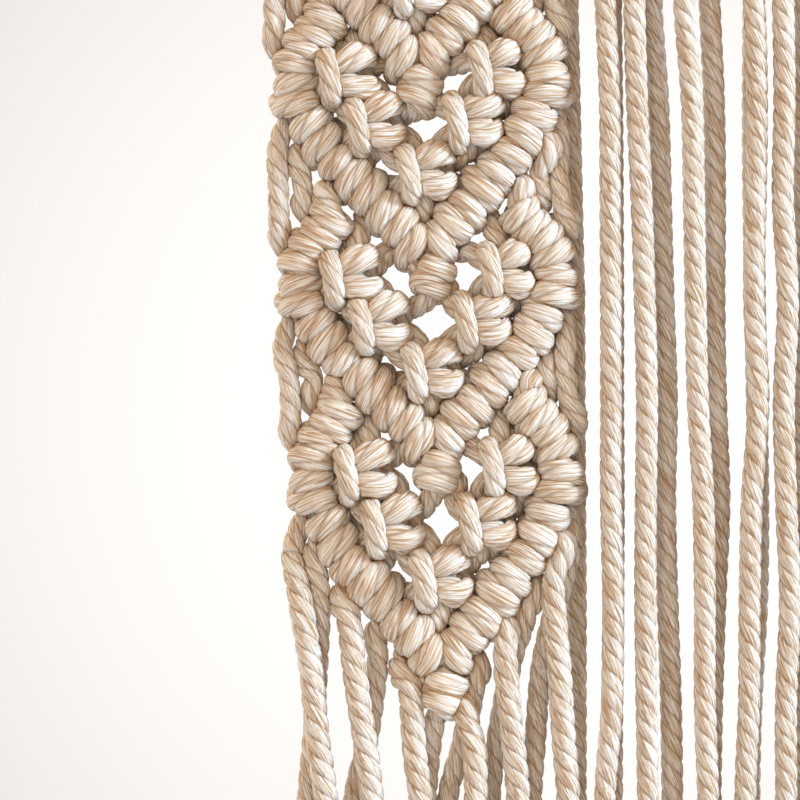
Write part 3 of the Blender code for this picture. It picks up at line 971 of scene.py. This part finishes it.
def cotton_material():
    """Natural cotton: three plies whose fine yarns run almost along the cord."""
    material = bpy.data.materials.new("natural_cotton_cord")
    material.use_nodes = True
    tree = Nodes(material)
    maths = tree.maths
    for name, value in COTTON_SHADER.items():
        tree.shader.inputs[name].default_value = value

    parts = {"tone": tree.attribute("tone")}
    round_it, along = tree.texture_place("yarn")
    for name, (across_scale, along_scale, detail, seed, roughness) in NOISES.items():
        places = (maths("MULTIPLY", round_it, across_scale), maths("MULTIPLY", along, along_scale))
        seed = maths("MULTIPLY_ADD", parts["tone"], TONE_SEED, seed)
        parts[name] = tree.noise(places, seed, detail, roughness)
    wander = maths("MULTIPLY", parts["wander"], YARN_WANDER)
    parts["lines"] = maths("SINE", maths("MULTIPLY_ADD", round_it, 2 * math.pi / YARN_WIDTH, wander))

    def broken_up(line, noise, breaks):
        return maths("MULTIPLY", line, maths("MULTIPLY_ADD", noise, *breaks))

    # painted shade: thin dark lines in the gaps where the strands part
    from_parting = maths("ABSOLUTE", maths("SUBTRACT", parts["parting"], 0.5))
    parting = maths("MAXIMUM", maths("MULTIPLY_ADD", from_parting, -PARTING_SHARPNESS, 1.0), 0.0)
    parts["parting"] = broken_up(parting, parts["hairs"], PARTING_BREAKS)

    round_plies, _ = tree.texture_place("ply")
    from_groove = maths("ABSOLUTE", maths("SUBTRACT", maths("FRACT", round_plies), 0.5))
    groove = maths("MAXIMUM", maths("MULTIPLY_ADD", from_groove, -1 / GROOVE_HALF_WIDTH, 1.0), 0.0)
    groove = broken_up(groove, parts["fibres"], GROOVE_BREAKS)
    groove = maths("MULTIPLY", groove, maths("POWER", tree.attribute("depth"), GROOVE_FADES))

    height, value = 0.0, RAMP_START
    for name, share in IN_HEIGHT.items():
        height = maths("MULTIPLY_ADD", parts[name], share, height)
    for name, share in IN_COLOUR.items():
        value = maths("MULTIPLY_ADD", parts[name], share, value)
    bump = tree.node("ShaderNodeBump", Strength=BUMP_STRENGTH, Distance=BUMP_DISTANCE)
    tree.links.new(height, bump.inputs["Height"])
    tree.links.new(bump.outputs[0], tree.shader.inputs["Normal"])

    ramp = tree.nodes.new("ShaderNodeValToRGB")
    stops = ramp.color_ramp.elements
    stops.new(MIDDLE_YARN[0])
    for stop, (position, colour) in zip(stops, (DARK_YARN, MIDDLE_YARN, PALE_YARN)):
        stop.position = position
        stop.color = colour
    tree.links.new(value, ramp.inputs[0])
    # painted shade in the grooves between the plies
    colour = tree.mix(maths("MINIMUM", groove, GROOVE_MOST), ramp.outputs[0], GROOVE_PAINTED_SHADE)
    # painted shade where the cords touch
    painted_contact_shade = maths("MULTIPLY", maths("POWER", tree.attribute("touch"), CONTACT_FADES), CONTACT_MOST)
    colour = tree.mix(painted_contact_shade, colour, PAINTED_CONTACT_SHADE_COLOUR)
    tree.links.new(colour, tree.shader.inputs["Base Color"])
    return material


# The strip's cords get wider below it, and the fringe's front ones, every second from the left, more so
WIDTH_LEVELS = (-290.0, -200.0, -160.0, -140.0)
WIDTHS = (1.02, 1.02, 1.04, 1.0)
FRONT_WIDTHS = (1.14, 1.14, 1.16, 1.0)
# Least and most tone of the strip's cords and of the curtain's front and back ones, and the heading's tone
STRIP_TONES = (0.0, 0.35)
FRONT_TONES = (0.3, 0.7)
# the back cords' higher tones darken them: painted shade for cords that hang behind
BACK_TONES = (0.7, 1.0)
HEADING_TONE = 0.3


def drawn_strip():
    """The strip's cords drawn tight, their order in the fringe, and each one's first ring in it."""
    routes, order = strip_routes()
    fringe_starts = hang_fringe(routes, order)
    chains, starts = [], []
    for index, route in enumerate(routes):
        rows, at = smooth_rows(route.rows, SETTLE_STEP)
        chains.append(rows)
        starts.append(at[fringe_starts[order.index(index)]])
    chains = settle(chains)
    for index, chain in enumerate(chains):
        for _ in range(SETTLED_SMOOTHINGS):
            chain[1:-1, :3] = (chain[:-2, :3] + 2 * chain[1:-1, :3] + chain[2:, :3]) / 4
        chains[index], at = smooth_rows(chain, RING_STEP)
        starts[index] = at[starts[index]]
    return chains, order, starts


def swept(name, route, rng, width=1.0):
    rows, _ = smooth_rows(route.rows, RING_STEP)
    return Sweep(name, rows, rng.uniform(*ANY_TURN), width)


def whole(sweep):
    return sweep, 0, len(sweep.centres) - 1


def add_piece(piece, node, material):
    piece.data.materials.append(material)
    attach(piece, "root")
    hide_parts(node)


def declare_cord(middle_line):
    tuple(middle_line[0])
    line_length(middle_line)


def make_cords():
    """All the cords: knots drawn tight, swept, pressed together and cut into pieces."""
    rng = np.random.default_rng(SEED)
    chains, order, starts = drawn_strip()
    strip = []
    for index, rows in enumerate(chains):
        widths = FRONT_WIDTHS if order.index(index) % 2 == 0 else WIDTHS
        width = np.interp(rows[:, 2], WIDTH_LEVELS, widths)
        strip.append(Sweep(f"strip_cord_{index + 1:02d}", rows, rng.uniform(*ANY_TURN), width))
    curtain = []
    for index, route in enumerate(curtain_routes()):
        curtain.append(swept(f"curtain_cord_{index + 1:02d}", route, rng, CURTAIN_WIDTH))
    knots, holding = heading_routes()
    heading = [swept("knot", route, rng) for route in knots]
    rows, _ = smooth_rows(holding.rows, RING_STEP)
    holding = Sweep("holding", rows, 0.0)
    press_together([*strip, *curtain, *heading, holding])

    cotton = cotton_material()
    for index, sweep in enumerate(strip):
        start = starts[index]
        tone = rng.uniform(*STRIP_TONES)
        piece = cord_mesh(sweep.name, [(sweep, 0, start)], tone, rng)
        add_piece(piece, "knotted_strip", cotton)
        name = f"fringe_cord_{order.index(index) + 1:02d}"
        strand = cord_mesh(name, [(sweep, start, len(sweep.centres) - 1)], tone, rng)
        add_piece(strand, "strip_fringe", cotton)
        declare_cord(sweep.centres[start:] * MM)
    for (y, _), sweep in zip(CURTAIN, curtain):
        tone = rng.uniform(*(FRONT_TONES if y < 0 else BACK_TONES))
        strand = cord_mesh(sweep.name, [whole(sweep)], tone, rng)
        add_piece(strand, "string_curtain", cotton)
        declare_cord(sweep.centres * MM)
    knots = cord_mesh("larks_head_knots", [whole(sweep) for sweep in heading], HEADING_TONE, rng)
    add_piece(knots, "heading_knots", cotton)
    core = cord_mesh("holding_cord_cotton", [whole(holding)], HEADING_TONE, rng)
    add_piece(core, "holding_cord", cotton)


# The camera looks from straight in front. What it sees on the plane y = 0 has this middle and this side.
FRAME_MIDDLE = (-27.3, -121.8)
FRAME_SIDE = 145.45
LENS = 135.0
SENSOR = 36.0
# From here on in metres: how near and far the camera sees
CLIP_START = 0.01
CLIP_END = 20.0

# The lights all aim at one place
AIM = (-0.02, 0.0, -0.12)
LIGHTS = (
    # name, place, side, power, colour
    ("key", (1.26, -0.36, 0.42), 0.40, 33.0, (0.61, 0.81, 1.0)),
    ("fill", (-0.4, -1.2, 0.1), 1.0, 3.2, (1.0, 0.94, 0.86)),
    ("back", (-0.8, 0.75, 0.35), 0.6, 9.0, (1.0, 0.95, 0.88)),
)
# The warm light comes from the world, but past the backdrop's edge the room looks pale
WORLD_LIGHT = (1.0, 0.725, 0.475, 1.0)
WORLD_STRENGTH = 0.94
WORLD_SEEN = (0.90, 0.89, 0.87, 1.0)
# The floor and the backdrop: half their width, and where they lie
ROOM_HALF = 3.0
FLOOR_Z = -0.60
BACKDROP_Y = 1.2
BACKDROP_TOP = 1.6
STAGE_ROUGHNESS = 0.9
FLOOR_BASE = (0.25, 0.25, 0.25, 1.0)
BACKDROP_BASE = (0.05, 0.05, 0.05, 1.0)
# Each sheet's glow: where it is strongest, its colour and strength there, and how it falls off with the
# distance squared
FLOOR_GLOW = ((0.0, 0.0, FLOOR_Z), (0.56, 0.60, 0.64, 1.0), 1.0, 0.0)
# the backdrop glows brightest round one place and dimmer away from it: a painted pool of light on it
BACKDROP_GLOW = ((0.056, BACKDROP_Y, -0.134), (1.0, 0.972, 0.94, 1.0), 1.0, 1.53)


def add_to_scene(name, data):
    holder = bpy.data.objects.new(name, data)
    bpy.context.scene.collection.objects.link(holder)
    return holder


def make_camera():
    camera = bpy.data.cameras.new("camera")
    camera.lens = LENS
    camera.sensor_width = SENSOR
    camera.clip_start = CLIP_START
    camera.clip_end = CLIP_END
    holder = add_to_scene("camera", camera)
    distance = FRAME_SIDE * LENS / SENSOR
    holder.location = (FRAME_MIDDLE[0] * MM, -distance * MM, FRAME_MIDDLE[1] * MM)
    holder.rotation_euler = (math.radians(90), 0.0, 0.0)
    bpy.context.scene.camera = holder


def make_lights():
    for name, spot, side, power, colour in LIGHTS:
        light = bpy.data.lights.new(name, "AREA")
        light.shape = "SQUARE"
        light.size = side
        light.energy = power
        light.color = colour
        holder = add_to_scene(name, light)
        holder.location = spot
        to_aim = np.array(AIM) - np.array(spot)
        holder.rotation_euler = Vector(to_aim).to_track_quat("-Z", "Y").to_euler()


def make_world():
    """Warm light from all round, and a pale look."""
    world = bpy.data.worlds.new("studio")
    world.use_nodes = True
    nodes, links = world.node_tree.nodes, world.node_tree.links
    light = nodes["Background"]
    light.inputs["Color"].default_value = WORLD_LIGHT
    light.inputs["Strength"].default_value = WORLD_STRENGTH
    seen = nodes.new("ShaderNodeBackground")
    seen.inputs["Color"].default_value = WORLD_SEEN
    ray = nodes.new("ShaderNodeLightPath")
    mixed = nodes.new("ShaderNodeMixShader")
    links.new(ray.outputs["Is Camera Ray"], mixed.inputs[0])
    links.new(light.outputs[0], mixed.inputs[1])
    links.new(seen.outputs[0], mixed.inputs[2])
    links.new(mixed.outputs[0], nodes["World Output"].inputs["Surface"])
    bpy.context.scene.world = world
    bpy.context.scene.view_settings.view_transform = "Standard"


def plain_sheet(name, corners, base, glow):
    """A flat sheet of the room, with a soft round glow."""
    mesh = bpy.data.meshes.new(name)
    mesh.from_pydata(corners, [], [(0, 1, 2, 3)])
    material = bpy.data.materials.new(name)
    material.use_nodes = True
    tree = Nodes(material)
    middle, colour, strength, fall = glow
    tree.shader.inputs["Base Color"].default_value = base
    tree.shader.inputs["Roughness"].default_value = STAGE_ROUGHNESS
    tree.shader.inputs["Emission Color"].default_value = colour
    away = tree.node("ShaderNodeVectorMath", operation="DISTANCE")
    away.inputs[1].default_value = middle
    coordinate = tree.nodes.new("ShaderNodeTexCoord")
    tree.links.new(coordinate.outputs["Object"], away.inputs[0])
    squared = tree.maths("POWER", away.outputs["Value"], 2.0)
    dimmed = tree.maths("MULTIPLY_ADD", squared, -fall, strength)
    dimmed.node.use_clamp = True
    tree.links.new(dimmed, tree.shader.inputs["Emission Strength"])
    mesh.materials.append(material)
    add_to_scene(name, mesh)


def make_room():
    left, right, front, back = -ROOM_HALF, ROOM_HALF, -ROOM_HALF, BACKDROP_Y
    low, high = FLOOR_Z, BACKDROP_TOP
    floor = [(left, front, low), (right, front, low), (right, back, low), (left, back, low)]
    wall = [(left, back, low), (right, back, low), (right, back, high), (left, back, high)]
    plain_sheet("floor", floor, FLOOR_BASE, FLOOR_GLOW)
    plain_sheet("backdrop", wall, BACKDROP_BASE, BACKDROP_GLOW)


make_camera()
make_lights()
make_world()
make_room()
make_cords()
